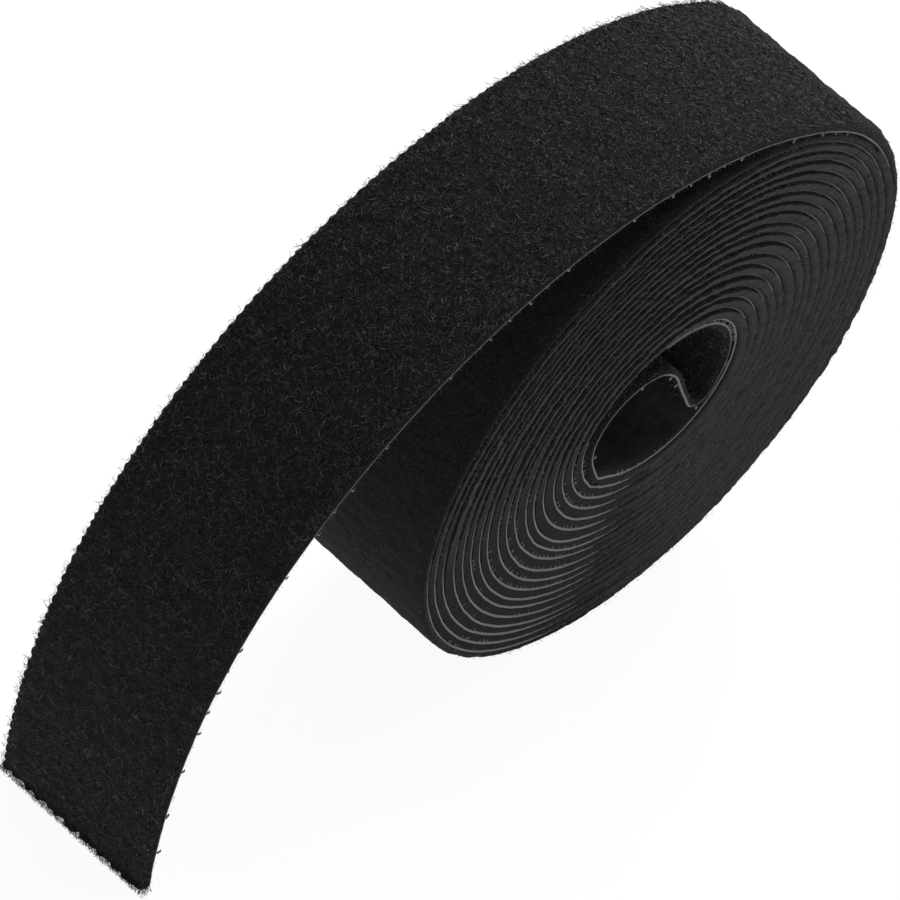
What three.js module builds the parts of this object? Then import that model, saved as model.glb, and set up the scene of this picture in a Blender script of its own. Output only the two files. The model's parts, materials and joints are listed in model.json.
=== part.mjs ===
// A roll of hook and loop tape without a core, its free end lifted off and standing on its tip.
// Millimetres, +Z up. The roll's axis runs along Y, and the origin is on the flat that it rests on.
// The tape is two layers bonded back to back: a brushed loop fabric outside, a hook film inside.

import * as THREE from 'three';

const degrees = THREE.MathUtils.degToRad;
const fullTurn = 2 * Math.PI;

// The tape
const tapeWidth = 20;
const filmThickness = 0.18;
const pressedPile = 0.42; // loop fabric squeezed between two turns
const freePile = 0.9; // loop fabric with nothing pressing on it

// The winding, counted inwards from where the free end leaves it
const turns = 18.62;
const boreRadius = 9.25;
const outerHookRoom = 0.5; // from a turn's film to the pile of the turn inside it, at the rim
const innerHookRoom = 0.79; // the same beside the bore, where the turns lie looser
const boreOffset = new THREE.Vector2(0.86, -1.22); // from the roll's axis to the middle of the bore
const boreOvality = 0.43; // added to the bore's radius along X and taken off it along Z
const peelAngle = degrees(62.8);
const restDepth = 0.5; // how deep the rim is pressed flat where the roll stands
const stepsPerTurn = 24;

// The pile stands up over the outermost turn and is squeezed again where the free end covers it
const pileFallsFrom = 0.9; // in turns
const pileFallsTo = 0.98;

// The free end: three curves, the last of which runs down to the floor
const firstCurve = { radius: 54, sweep: degrees(66.1) };
const secondCurve = { radius: 51.9, sweep: degrees(45.2) };
const lastCurveRadius = 72.7;
const tailSections = 5;
const stepsPerSection = 6;

// The inner end: an arch across the bore, a straight drop and a curl towards the far wall
const archInset = 3.2; // from the bore's radius to the arch's radius
const archSweep = degrees(170.2);
const dropLength = 6.9;
const tipCurl = { radius: 2, sweep: degrees(92) };
const archSteps = 10;
const curlSteps = 5;

// The wrap: past the curl, the last of the tape lies back along the wall, its hooks to the wall's hooks
const wrapRoom = 0.5; // from the wall's film to the wrap's film
const wrapStart = 0.41; // in turns before the end of the winding
const wrapEnd = 0.74;
const wrapSteps = 8;

// Folds: a narrow gap across the tape, with the hinge line inside its thickness
const foldGap = 0.3;
const tailFoldHeight = 0.45; // from the bond between the layers towards the pile
const innerFoldHeight = 0.12;

const outerPitch = filmThickness + pressedPile + outerHookRoom;
const innerPitch = filmThickness + pressedPile + innerHookRoom;
const rimRadius = boreRadius + filmThickness + (turns * (outerPitch + innerPitch)) / 2;

// A station is a place on the bond line between the two layers, with the way to its pile side

function windingPoint(turn) {
  const angle = peelAngle - turn * fullTurn;
  const inward = turn / turns;
  const tightening = ((innerPitch - outerPitch) * turn * turn) / (2 * turns);
  const round = rimRadius - outerPitch * turn - tightening;
  const radius = round + boreOvality * inward ** 3 * Math.cos(2 * angle);
  const point = new THREE.Vector2(Math.cos(angle), Math.sin(angle)).multiplyScalar(radius);
  return point.addScaledVector(boreOffset, inward);
}

function windingStation(turn) {
  const near = 1e-4;
  const along = windingPoint(turn + near).sub(windingPoint(turn - near)).normalize();
  const pileSide = new THREE.Vector2(-along.y, along.x);
  return { point: windingPoint(turn), along, pileSide, turn };
}

function lifted(station, height) {
  return station.point.clone().addScaledVector(station.pileSide, height);
}

const bottomTurn = (peelAngle + degrees(90)) / fullTurn;
const floorBelowAxis = -lifted(windingStation(bottomTurn), freePile).y - restDepth;

function pileAt(station) {
  const falling = THREE.MathUtils.smoothstep(station.turn, pileFallsFrom, pileFallsTo);
  return THREE.MathUtils.lerp(freePile, pressedPile, falling);
}

// A run of curves and straights that starts on the winding; a positive sweep turns left
class Run {
  constructor(start, heading, pileOnLeft) {
    this.stretches = [];
    this.length = 0;
    this.pileOnLeft = pileOnLeft;
    this.end = { point: start.clone(), heading };
  }

  curve(radius, sweep) {
    const from = this.end;
    const side = Math.sign(sweep);
    const centre = from.point.clone().add(Run.leftOf(from.heading).multiplyScalar(side * radius));
    const at = (share) => {
      const heading = from.heading + sweep * share;
      const point = centre.clone().sub(Run.leftOf(heading).multiplyScalar(side * radius));
      return { point, heading };
    };
    return this.add(at, radius * Math.abs(sweep));
  }

  straight(length) {
    const from = this.end;
    const ahead = new THREE.Vector2(Math.cos(from.heading), Math.sin(from.heading));
    const at = (share) => {
      const point = from.point.clone().addScaledVector(ahead, length * share);
      return { point, heading: from.heading };
    };
    return this.add(at, length);
  }

  add(at, length) {
    this.stretches.push({ at, start: this.length, length });
    this.length += length;
    this.end = at(1);
    return this;
  }

  station(distance) {
    const stretch = this.stretches.findLast((each) => each.start <= distance) ?? this.stretches[0];
    const { point, heading } = stretch.at((distance - stretch.start) / stretch.length);
    const left = Run.leftOf(heading);
    return { point, pileSide: this.pileOnLeft ? left : left.negate(), turn: 0 };
  }

  static leftOf(heading) {
    return new THREE.Vector2(-Math.sin(heading), Math.cos(heading));
  }
}

function makeTail() {
  const start = windingStation(0);
  const outward = start.along.clone().negate().angle();
  const tail = new Run(start.point, outward, false);
  tail.curve(firstCurve.radius, firstCurve.sweep);
  tail.curve(secondCurve.radius, secondCurve.sweep);
  const { point, heading } = tail.end;
  const centre = point.clone().add(Run.leftOf(heading).multiplyScalar(lastCurveRadius));
  const heightOfCentre = centre.y + floorBelowAxis;
  const endHeading = fullTurn - Math.acos(heightOfCentre / (lastCurveRadius + freePile));
  return tail.curve(lastCurveRadius, endHeading - heading);
}

function makeInnerEnd() {
  const start = windingStation(turns);
  const innerEnd = new Run(start.point, start.along.angle(), true);
  innerEnd.curve(boreRadius - archInset, -archSweep);
  innerEnd.straight(dropLength);
  return innerEnd.curve(tipCurl.radius, tipCurl.sweep);
}

// The winding's steps sit so that one of them lies level at the foot of the roll
function windingStations() {
  const step = 1 / stepsPerTurn;
  const from = foldGap / 2 / (fullTurn * rimRadius);
  const to = turns - foldGap / 2 / (fullTurn * boreRadius);
  const phase = (bottomTurn + step / 2) % step;
  const list = [from];
  for (let turn = phase; turn < to - step / 3; turn += step) {
    if (turn > from + step / 3) list.push(turn);
  }
  return [...list, to].map(windingStation);
}

function spaced(from, to, steps) {
  return Array.from({ length: steps + 1 }, (_, i) => THREE.MathUtils.lerp(from, to, i / steps));
}

function tailStations(tail, section) {
  const sectionLength = tail.length / tailSections;
  const from = section * sectionLength + foldGap / 2;
  const last = section === tailSections - 1;
  const to = (section + 1) * sectionLength - (last ? 0 : foldGap / 2);
  return spaced(from, to, stepsPerSection).map((distance) => tail.station(distance));
}

function innerEndStations(innerEnd) {
  const [arch, drop] = innerEnd.stretches;
  const curlStart = drop.start + drop.length;
  const places = spaced(foldGap / 2, arch.length, archSteps);
  return [...places, ...spaced(curlStart, innerEnd.length, curlSteps)].map((distance) =>
    innerEnd.station(distance),
  );
}

function wrapStations() {
  const inset = 2 * filmThickness + wrapRoom;
  return spaced(wrapStart, wrapEnd, wrapSteps).map((before) => {
    const wall = windingStation(turns - before);
    return { point: lifted(wall, -inset), pileSide: wall.pileSide.clone().negate(), turn: 0 };
  });
}

// Pieces

const loopBlack = () =>
  new THREE.MeshStandardMaterial({ color: 0x141416, roughness: 0.95, metalness: 0 });
const filmGrey = () =>
  new THREE.MeshStandardMaterial({ color: 0x4a4a4c, roughness: 0.5, metalness: 0 });

// A layer of the tape between two heights above the bond line, in the frame of its group
function layer(name, stations, low, high, material, pivot) {
  const aboveFloor = (point) => {
    const up = point.y + floorBelowAxis;
    return new THREE.Vector2(point.x - pivot.x, Math.max(up, 0) - pivot.z);
  };
  const inside = stations.map((station) => aboveFloor(lifted(station, low(station))));
  const outside = stations.map((station) => aboveFloor(lifted(station, high(station))));
  const outline = new THREE.Shape([...inside, ...outside.reverse()]);
  const solid = new THREE.ExtrudeGeometry(outline, { depth: tapeWidth, bevelEnabled: false });
  solid.rotateX(Math.PI / 2);
  solid.translate(0, tapeWidth / 2, 0);
  const mesh = new THREE.Mesh(solid, material);
  mesh.name = name;
  return mesh;
}

function stretchOfTape(prefix, stations, pile, pivot) {
  const bond = () => 0;
  const back = () => -filmThickness;
  return [
    layer(`${prefix}_loop_fabric`, stations, bond, pile, loopBlack(), pivot),
    layer(`${prefix}_hook_film`, stations, back, bond, filmGrey(), pivot),
  ];
}

function foldLine(station, height) {
  const place = lifted(station, height);
  return new THREE.Vector3(place.x, 0, place.y + floorBelowAxis);
}

function hinged(parent, parentPivot, pivot, pieces) {
  const group = new THREE.Group();
  group.position.subVectors(pivot, parentPivot);
  group.add(...pieces);
  parent.add(group);
  return group;
}

// Least room between the turns, from the film's back to the pile of any turn further in
function leastGap(stations) {
  const backs = stations.map((station) => lifted(station, -filmThickness));
  const piles = stations.map((station) => lifted(station, pileAt(station)));
  const nearest = new THREE.Vector3();
  const flat = (point) => new THREE.Vector3(point.x, point.y, 0);
  let least = Infinity;
  backs.forEach((back, i) => {
    const firstInside = i + stepsPerTurn / 2;
    const lastInside = Math.min(i + 1.5 * stepsPerTurn, piles.length - 1);
    for (let j = firstInside; j < lastInside; j++) {
      const facet = new THREE.Line3(flat(piles[j]), flat(piles[j + 1]));
      facet.closestPointToPoint(flat(back), true, nearest);
      least = Math.min(least, nearest.distanceTo(flat(back)));
    }
  });
  return least;
}

const winding = windingStations();
const tail = makeTail();
const innerEnd = makeInnerEnd();
const pressed = () => pressedPile;
const free = () => freePile;
const origin = new THREE.Vector3();

const tapeRoll = new THREE.Group();
tapeRoll.add(...stretchOfTape('roll', winding, pileAt, origin));
tapeRoll.add(...stretchOfTape('inner_wrap', wrapStations(), pressed, origin));

let carrier = tapeRoll;
let carrierPivot = origin;
for (let section = 0; section < tailSections; section++) {
  const start = (section * tail.length) / tailSections;
  const pivot = foldLine(tail.station(start), tailFoldHeight);
  const pieces = stretchOfTape(`tail_${section + 1}`, tailStations(tail, section), free, pivot);
  carrier = hinged(carrier, carrierPivot, pivot, pieces);
  carrierPivot = pivot;
}

const innerPivot = foldLine(innerEnd.station(0), innerFoldHeight);
const innerPieces = stretchOfTape('inner_end', innerEndStations(innerEnd), pressed, innerPivot);
hinged(tapeRoll, origin, innerPivot, innerPieces);

console.log(`least gap between the turns: ${leastGap(winding).toFixed(3)} mm`);

export default tapeRoll;
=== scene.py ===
# A roll of double-sided hook and loop tape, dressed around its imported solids.
# The tape is modelled flat, as it comes off the machine, and then wound along the roll's own line.

import json
import math
from dataclasses import dataclass

import bpy
import numpy as np
from mathutils import Matrix, Vector

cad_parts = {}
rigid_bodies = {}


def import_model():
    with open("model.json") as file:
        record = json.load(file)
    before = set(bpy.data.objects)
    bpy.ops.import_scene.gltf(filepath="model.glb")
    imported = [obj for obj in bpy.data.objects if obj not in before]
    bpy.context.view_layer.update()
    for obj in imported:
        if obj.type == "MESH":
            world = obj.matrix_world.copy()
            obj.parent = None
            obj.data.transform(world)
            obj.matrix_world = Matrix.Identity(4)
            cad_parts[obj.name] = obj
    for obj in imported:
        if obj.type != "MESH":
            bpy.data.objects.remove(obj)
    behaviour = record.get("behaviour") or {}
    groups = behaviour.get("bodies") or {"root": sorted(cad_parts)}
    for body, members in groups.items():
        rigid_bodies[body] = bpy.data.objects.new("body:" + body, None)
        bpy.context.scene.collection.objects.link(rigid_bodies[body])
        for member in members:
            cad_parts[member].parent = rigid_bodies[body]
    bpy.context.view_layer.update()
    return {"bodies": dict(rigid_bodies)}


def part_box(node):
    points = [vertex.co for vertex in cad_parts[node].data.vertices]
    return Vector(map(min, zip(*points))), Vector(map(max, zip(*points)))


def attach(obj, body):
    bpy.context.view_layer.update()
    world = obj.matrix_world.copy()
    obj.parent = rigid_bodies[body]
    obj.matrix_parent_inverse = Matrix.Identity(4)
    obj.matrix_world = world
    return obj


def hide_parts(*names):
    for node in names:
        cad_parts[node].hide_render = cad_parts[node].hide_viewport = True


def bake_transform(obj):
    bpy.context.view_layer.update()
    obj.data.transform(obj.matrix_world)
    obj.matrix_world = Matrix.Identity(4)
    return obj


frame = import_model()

bl_info = {
    "name": "Hook and Loop Tape Roll",
    "version": (1, 0, 0),
    "blender": (4, 5, 0),
    "location": "3D View > Sidebar > Tape Roll",
    "description": "Fabric, film, hooks and pile of a coreless roll of hook and loop tape",
    "category": "Object",
}

MM = 0.001
FLOOR_GAP = 0.01 * MM
ROLL_LOW, ROLL_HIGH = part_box("roll_loop_fabric")
SECTIONS = sum(name.startswith("tail_") for name in frame["bodies"])


def length(name, description, millimetres):
    return bpy.props.FloatProperty(
        name=name, description=description, default=millimetres * MM, unit="LENGTH", precision=5
    )


def angle(name, description, degrees):
    return bpy.props.FloatProperty(
        name=name, description=description, default=math.radians(degrees), subtype="ANGLE"
    )


def number(name, description, value):
    return bpy.props.FloatProperty(name=name, description=description, default=value)


def colour(name, description, red, green, blue):
    return bpy.props.FloatVectorProperty(
        name=name,
        description=description,
        default=(red, green, blue),
        subtype="COLOR",
        min=0,
        max=1,
    )


class TapeSizes(bpy.types.PropertyGroup):
    """The tape as it lies flat."""

    width: length("Width", "Across the tape", (ROLL_HIGH.y - ROLL_LOW.y) / MM)
    film: length("Film", "Thickness of the hook film", 0.18)
    pressed_pile: length("Pressed pile", "Height of the pile between two turns", 0.42)
    free_pile: length("Free pile", "Height of the pile with nothing on it", 0.9)
    crest: length("Crest", "How much higher the free pile is where it turns onto the roll", 0.4)
    bore_pile: length("Bore pile", "Height of the pile on the inner end", 0.6)
    tuft: length("Tuft", "From one tuft of the pile to the next", 1.15)
    fibre: length("Fibre", "Length of a loose loop of the pile", 1.6)
    fibre_radius: length("Fibre radius", "Half the thickness of a loop", 0.023)
    free_spill: length("Free spill", "Most that the pile hangs over the edges at the tip", 0.14)
    roll_spill: length("Roll spill", "The same on the outside of the roll", 0.4)
    wound_spill: length("Wound spill", "The same between the turns", 0.72)
    free_notch: length("Free notch", "Depth between the tufts of an edge at the tip", 0.42)
    roll_notch: length("Roll notch", "The same on the roll", 0.15)
    hook: length("Hook", "Height of a hook over the film", 0.55)
    hook_pitch: length("Hook pitch", "From one row of hooks to the next", 2.67)
    hook_spacing: length("Hook spacing", "From hook to hook in a row", 0.9)


class WindingSizes(bpy.types.PropertyGroup):
    """The roll, counted in turns from where the free end leaves it."""

    turns: number("Turns", "Turns in the roll", 18.62)
    bore: length("Bore radius", "Inside of the last turn", 9.25)
    outer_room: length("Outer hook room", "From film to the pile below it at the rim", 0.5)
    inner_room: length("Inner hook room", "The same beside the bore", 0.79)
    offset_across: length("Bore offset along X", "From the roll's axis to the bore's", 0.86)
    offset_up: length("Bore offset along Z", "From the roll's axis to the bore's", -1.22)
    ovality: length("Bore ovality", "Added along X and taken off along Z", 0.43)
    peel: angle("Peel angle", "Where the free end leaves the roll", 62.8)
    rest_depth: length("Rest depth", "How deep the pile is pressed at the foot", 0.5)
    looseness: length("Looseness", "How far a turn strays from an even spiral", 0.13)
    corner: length("Corner", "How far the turn around the bore is pushed out at its fold", 0.55)
    corner_angle: angle("Corner angle", "Where that fold is", -135)
    bare_reach: angle("Bare reach", "How far from the fold the cut edges lie bare", 80)
    pile_falls_from: number("Pile falls from", "Turns to where the free end covers the pile", 0.9)
    pile_falls_to: number("Pile falls to", "Turns to where the pile is fully pressed", 0.98)


class EndSizes(bpy.types.PropertyGroup):
    """The free end outside the roll and the inner end in its bore."""

    first_radius: length("First radius", "Free end's curve beside the roll", 54)
    first_sweep: angle("First sweep", "Angle of that curve", 66.1)
    second_radius: length("Second radius", "Free end's middle curve", 51.9)
    second_sweep: angle("Second sweep", "Angle of that curve", 45.2)
    last_radius: length("Last radius", "Free end's curve down to the floor", 72.7)
    arch_inset: length("Arch inset", "From the bore's radius to the inner end's arch", 3.2)
    arch_sweep: angle("Arch sweep", "Angle of the arch", 170.2)
    drop: length("Drop", "Straight length after the arch", 6.9)
    curl_radius: length("Curl radius", "Radius of the curl at the far wall", 2)
    curl_sweep: angle("Curl sweep", "Angle of that curl", 135)
    wrap_room: length("Wrap room", "From the wall's film to the film of the wrap on it", 0.5)
    wrap_start: number("Wrap start", "Turns from the end of the winding to the wrap", 0.41)
    wrap_end: number("Wrap end", "Turns from the end of the winding to the tape's end", 0.74)


class TapeFinish(bpy.types.PropertyGroup):
    """Colours of the tape and of the stage."""

    # Painted shade and light: the pile is darker low down and between the tufts, and lighter on the
    # tufts' tops, with a fine mottle over both
    pile_painted_shade: colour("Pile shade", "Between the tufts", 0.0034, 0.0034, 0.0036)
    pile_painted_light: colour("Pile light", "On top of the tufts", 0.0088, 0.0088, 0.0093)
    pile_curl: colour("Pile curl", "Fibres that lie flat in the pile", 0.027, 0.027, 0.0284)
    pile_cut: colour("Pile cut", "Along the cut edges of the tape", 0.0055, 0.0055, 0.0057)
    # Painted sheen: pile that hangs over the cut edges is coloured lighter and cool, for the light it
    # catches at grazing angles
    pile_spill_painted_sheen: colour("Pile spill", "Where it hangs over the edges", 0.028, 0.0312, 0.032)
    fibre_shade: colour("Fibre shade", "Darkest loops", 0.006, 0.006, 0.0063)
    fibre_light: colour("Fibre light", "Lightest loops", 0.2, 0.2, 0.21)
    film: colour("Film", "Face of the hook film", 0.005, 0.005, 0.0052)
    cut_edge: colour("Cut edge", "Slit edge of the hook film", 0.074, 0.08, 0.078)
    hook_tip: colour("Hook tip", "Head of a hook", 0.16, 0.16, 0.156)
    floor: colour("Floor", "Floor and backdrop", 0.92, 0.92, 0.92)


def smoothstep(value, low, high):
    share = np.clip((value - low) / (high - low), 0, 1)
    return share * share * (3 - 2 * share)


# The unevenness of the tape


class Seed:
    """One seed for each kind of unevenness, so that no two follow each other."""

    WINDING = 7
    COARSE_TUFTS = 11
    FINE_TUFTS = 12
    NOTCH_PLACES = 13
    FINE_SPILL = 14
    SLOW_SPILL = 15
    TIP_FLARE = 16
    EDGE_HOOKS = 17
    NOTCH_DEPTHS = 18
    BARE_EDGES = 19
    TIP_TUFTS = 20
    SLOW_FILM = 21
    QUICK_FILM = 22
    HOOKS = 31
    LOOPS = 100


# Where across the tape the unevenness of an edge is read, so that it varies only along the edge
EDGE_LANE = 9 * MM
LATTICE = (512, 64)


def bumps(along, across, spacing, seed):
    """Smooth bumps from 0 to 1 over the flat tape, a spacing apart."""
    lattice = np.random.default_rng(seed).random(LATTICE)
    places = [np.asarray(along) / spacing, np.asarray(across) / spacing]
    cells = [np.floor(place).astype(int) for place in places]
    row, column = cells
    u, v = (smoothstep(place - cell, 0, 1) for place, cell in zip(places, cells))

    def corner(down, right):
        return lattice[(row + down) % LATTICE[0], (column + right) % LATTICE[1]]

    near = corner(0, 0) * (1 - v) + corner(0, 1) * v
    far = corner(1, 0) * (1 - v) + corner(1, 1) * v
    return near * (1 - u) + far * u


# The line of the tape, drawn in the XZ plane as complex numbers


def arc(start, heading, radius, sweep, step):
    """Points of a curve after its start, and the heading at its end. A positive sweep turns left."""
    count = max(2, round(abs(radius * sweep) / step))
    turned = np.exp(1j * sweep * np.linspace(0, 1, count + 1)[1:])
    to_centre = 1j * heading * math.copysign(radius, sweep)
    return start + to_centre - to_centre * turned, heading * turned[-1]


class TapeLine:
    """The bond between fabric and film, from the tip of the free end to the inner tip.

    A place on the flat tape is its distance from that tip, its place across the tape and its
    height over the bond, towards the pile."""

    STEP = 0.2 * MM
    RUN_OUT = 4 * MM
    CORNER_REACH = math.radians(20)
    BARE_CORE = 0.2
    WAVES = 9
    WAVES_PER_TURN = (0.6, 3.2)
    SLIDES_UNDER = (1.0, 1.06)
    CREST_PLACE = 12 * MM
    CREST_REACH = 9 * MM
    NOTCHES_FADE = (10 * MM, -25 * MM)
    SPILL_GROWS = (-15 * MM, 30 * MM)
    NEAR_NOTCH = 0.3
    FAR_SPILL = 0.4

    def __init__(self, scene):
        self.tape = scene.tape_sizes
        self.roll = scene.tape_winding
        self.ends = scene.tape_ends
        tape, roll = self.tape, self.roll
        self.outer_pitch = tape.film + tape.pressed_pile + roll.outer_room
        self.inner_pitch = tape.film + tape.pressed_pile + roll.inner_room
        mean_pitch = (self.outer_pitch + self.inner_pitch) / 2
        self.rim = roll.bore + tape.film + roll.turns * mean_pitch
        foot = (roll.peel + math.pi / 2) / math.tau
        lowest = self.even_turn(np.array([foot - 1e-4, foot, foot + 1e-4]))
        outward = 1j * (lowest[2] - lowest[0]) / abs(lowest[2] - lowest[0])
        self.axis_height = -(lowest[1] + outward * tape.free_pile).imag - roll.rest_depth
        self.draw()

    def even_turn(self, turn):
        roll = self.roll
        at = roll.peel - math.tau * turn
        inward = turn / roll.turns
        tightening = (self.inner_pitch - self.outer_pitch) * turn**2 / (2 * roll.turns)
        radius = self.rim - self.outer_pitch * turn - tightening
        radius = radius + roll.ovality * inward**3 * np.cos(2 * at)
        return radius * np.exp(1j * at) + complex(roll.offset_across, roll.offset_up) * inward

    def strayed_turn(self, turn):
        """The even spiral with the small waves of a roll wound by hand, and its folded corner."""
        roll = self.roll
        draws = np.random.default_rng(Seed.WINDING)
        waves = np.zeros_like(turn)
        for rate in draws.uniform(*self.WAVES_PER_TURN, self.WAVES):
            waves += np.sin(math.tau * (rate * turn + draws.random()))
        waves *= roll.looseness / math.sqrt(self.WAVES)
        waves *= smoothstep(turn, 0.05, 0.5) * (1 - smoothstep(turn, roll.turns - 0.4, roll.turns))
        sharp = np.maximum(1 - self.from_corner(turn) / self.CORNER_REACH, 0) ** 2
        corner = roll.corner * sharp * np.exp(turn - roll.turns)
        out = np.exp(1j * (roll.peel - math.tau * turn))
        return self.even_turn(turn) + (waves + corner) * out

    def from_corner(self, turn):
        """Angle around the roll from its folded corner."""
        at = self.roll.peel - math.tau * turn
        return abs((at - self.roll.corner_angle + math.pi) % math.tau - math.pi)

    def draw(self):
        roll = self.roll
        count = round(roll.turns * math.pi * (self.rim + roll.bore) / self.STEP)
        turn = np.linspace(0, roll.turns, count)
        wound = self.strayed_turn(turn) + 1j * self.axis_height
        free = self.draw_free_end(wound[0], -self.heading(wound[0], wound[1]))
        held, wrap = self.draw_inner_end(wound[-1], self.heading(wound[-2], wound[-1]))
        inner = np.concatenate([held, wrap])
        points = np.concatenate([free[::-1], wound, inner])
        turns = np.concatenate([np.zeros(len(free)), turn, np.full(len(inner), roll.turns)])
        points = np.concatenate(
            [
                [points[0] + self.RUN_OUT * self.heading(points[1], points[0])],
                points,
                [points[-1] + self.RUN_OUT * self.heading(points[-2], points[-1])],
            ]
        )
        self.turns = np.concatenate([[0], turns, [roll.turns]])
        self.rooms = self.draw_rooms(turn, len(free), len(inner))
        self.points = points
        self.distances = np.concatenate([[0], np.cumsum(abs(np.diff(points)))]) - self.RUN_OUT
        ahead = np.gradient(points, self.distances)
        self.pile_sides = 1j * ahead / abs(ahead)
        self.peel = self.distances[1 + len(free)]
        self.wound_end = self.distances[len(free) + len(wound)]
        self.wrap = self.distances[len(free) + len(wound) + len(held)]
        self.end = self.distances[-2]

    def draw_rooms(self, turn, free_count, inner_count):
        """Room for the pile along the line: up to the film of the turn outside, loose in the bore."""
        out = np.exp(1j * (self.roll.peel - math.tau * turn))
        outside = self.strayed_turn(np.maximum(turn - 1, 0))
        gap = ((outside - self.strayed_turn(turn)) / out).real - self.tape.film
        gap = np.where(turn < 1, self.tape.free_pile, gap)
        loose = self.tape.bore_pile
        gap += (loose - gap) * smoothstep(turn, self.roll.turns - 0.06, self.roll.turns)
        return np.concatenate(
            [np.full(free_count + 1, gap[0]), gap, np.full(inner_count + 1, loose)]
        )

    @staticmethod
    def heading(start, end):
        return (end - start) / abs(end - start)

    def draw_free_end(self, start, heading):
        ends = self.ends
        first, heading = arc(start, heading, ends.first_radius, ends.first_sweep, self.STEP)
        second, heading = arc(
            first[-1], heading, ends.second_radius, ends.second_sweep, self.STEP
        )
        centre = second[-1] + 1j * heading * ends.last_radius
        landing = math.tau - math.acos(centre.imag / (ends.last_radius + self.tape.free_pile))
        sweep = landing - np.angle(heading) % math.tau
        last, _ = arc(second[-1], heading, ends.last_radius, sweep, self.STEP)
        return np.concatenate([first, second, last])

    def draw_inner_end(self, start, heading):
        ends = self.ends
        radius = self.roll.bore - ends.arch_inset
        arch, heading = arc(start, heading, radius, -ends.arch_sweep, self.STEP)
        drop = arch[-1] + heading * np.arange(self.STEP, ends.drop, self.STEP)
        curl, _ = arc(drop[-1], heading, ends.curl_radius, ends.curl_sweep, self.STEP)
        wrap = self.draw_wrap()
        steps = round(abs(wrap[0] - curl[-1]) / self.STEP)
        rise = np.linspace(curl[-1], wrap[0], steps + 1)[1:-1]
        return np.concatenate([arch, drop, curl, rise]), wrap

    def draw_wrap(self):
        """The last of the tape, back along the wall of the bore with its hooks to the wall's hooks."""
        ends, roll = self.ends, self.roll
        arc_length = (ends.wrap_end - ends.wrap_start) * math.tau * roll.bore
        shares = np.linspace(ends.wrap_start, ends.wrap_end, round(arc_length / self.STEP))
        wall = self.strayed_turn(roll.turns - shares)
        ahead = np.gradient(wall)
        pressed = smoothstep(shares, ends.wrap_start, ends.wrap_end)
        inset = 2 * self.tape.film + ends.wrap_room * (1 - 0.7 * pressed)
        return wall + 1j * self.axis_height + inset * 1j * ahead / abs(ahead)

    def wind(self, flat):
        """Takes places on the flat tape to where they are on the roll."""
        along, across, height = flat.T
        bond = np.interp(along, self.distances, self.points)
        side = np.interp(along, self.distances, self.pile_sides)
        place = bond + side / abs(side) * height
        return np.stack([place.real, across, place.imag], 1)

    def point(self, along):
        return Vector(self.wind(np.array([[along, 0, 0]]))[0])

    def at_turn(self, turn):
        inside = (self.distances >= self.peel) & (self.distances <= self.wound_end)
        return float(np.interp(turn, self.turns[inside], self.distances[inside]))

    def full_pile(self, along):
        """How high the pile stands: free outside, up to the next film between the turns."""
        roll = self.roll
        turn = np.interp(along, self.distances, self.turns)
        room = np.interp(along, self.distances, self.rooms)
        pressed = smoothstep(turn, roll.pile_falls_from, roll.pile_falls_to)
        crest = np.exp(-(((along - self.peel - self.CREST_PLACE) / self.CREST_REACH) ** 2))
        free = self.tape.free_pile + self.tape.crest * crest
        return free + (room - free) * pressed

    def tufts(self, along, across):
        """Height of the tufts from 0 to 1: soft bumps of two sizes."""
        coarse = bumps(along, across, self.tape.tuft, Seed.COARSE_TUFTS)
        fine = bumps(along, across, self.tape.tuft / 2.3, Seed.FINE_TUFTS)
        return 0.6 * coarse + 0.4 * fine

    def on_roll(self, along):
        """From 0 at the tip of the free end to 1 on the roll."""
        start, end = self.NOTCHES_FADE
        return smoothstep(along, start, self.peel + end)

    def spills(self, along, across):
        """How far the pile hangs over a cut edge: by tufts, and less around the folded corner."""
        tape = self.tape
        side = np.sign(across) * EDGE_LANE
        fine = bumps(along, side, tape.tuft / 2, Seed.FINE_SPILL)
        slow = bumps(along, side, 14 * tape.tuft, Seed.SLOW_SPILL)
        turn = np.interp(along, self.distances, self.turns)
        rolled = smoothstep(along, *(self.peel + place for place in self.SPILL_GROWS))
        most = tape.free_spill + (tape.roll_spill - tape.free_spill) * rolled
        most += (tape.wound_spill - tape.roll_spill) * smoothstep(turn, *self.SLIDES_UNDER)
        most *= self.covered(along) * np.where(across < 0, 1, self.FAR_SPILL)
        return most * (0.6 + 0.4 * fine) * (0.7 + 0.3 * slow)

    def covered(self, along):
        """From 0 around the folded corner, where the cut edges lie bare, to 1 under the pile."""
        turn = np.interp(along, self.distances, self.turns)
        uneven = 0.7 + 0.6 * bumps(along, EDGE_LANE, 16 * self.tape.tuft, Seed.BARE_EDGES)
        reach = uneven * self.roll.bare_reach
        away = smoothstep(self.from_corner(turn), self.BARE_CORE, reach)
        return 1 - smoothstep(turn, *self.SLIDES_UNDER) * (1 - away)

    def notches(self, along, across):
        """How deep an edge is cut in between its tufts: most at the tip, least on the near edge."""
        tape = self.tape
        side = np.sign(across) * EDGE_LANE
        wander = 1.6 * bumps(along, side, 4 * tape.tuft, Seed.NOTCH_PLACES)
        uneven = 0.4 + 0.6 * bumps(along, side, 1.7 * tape.tuft, Seed.NOTCH_DEPTHS)
        shape = abs(np.cos(math.pi * (along / tape.tuft + wander))) ** 2
        depth = tape.free_notch + (tape.roll_notch - tape.free_notch) * self.on_roll(along)
        return depth * shape * uneven * np.where(across < 0, self.NEAR_NOTCH, 1)


# The stretches of tape that are one piece in each layer


@dataclass
class Stretch:
    """A length of tape, with the bodies at its start and end and where it bends between them."""

    name: str
    start: float
    end: float
    bodies: tuple
    stands_for: str = ""
    fold: tuple = ()

    @property
    def length(self):
        return self.end - self.start


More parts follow.
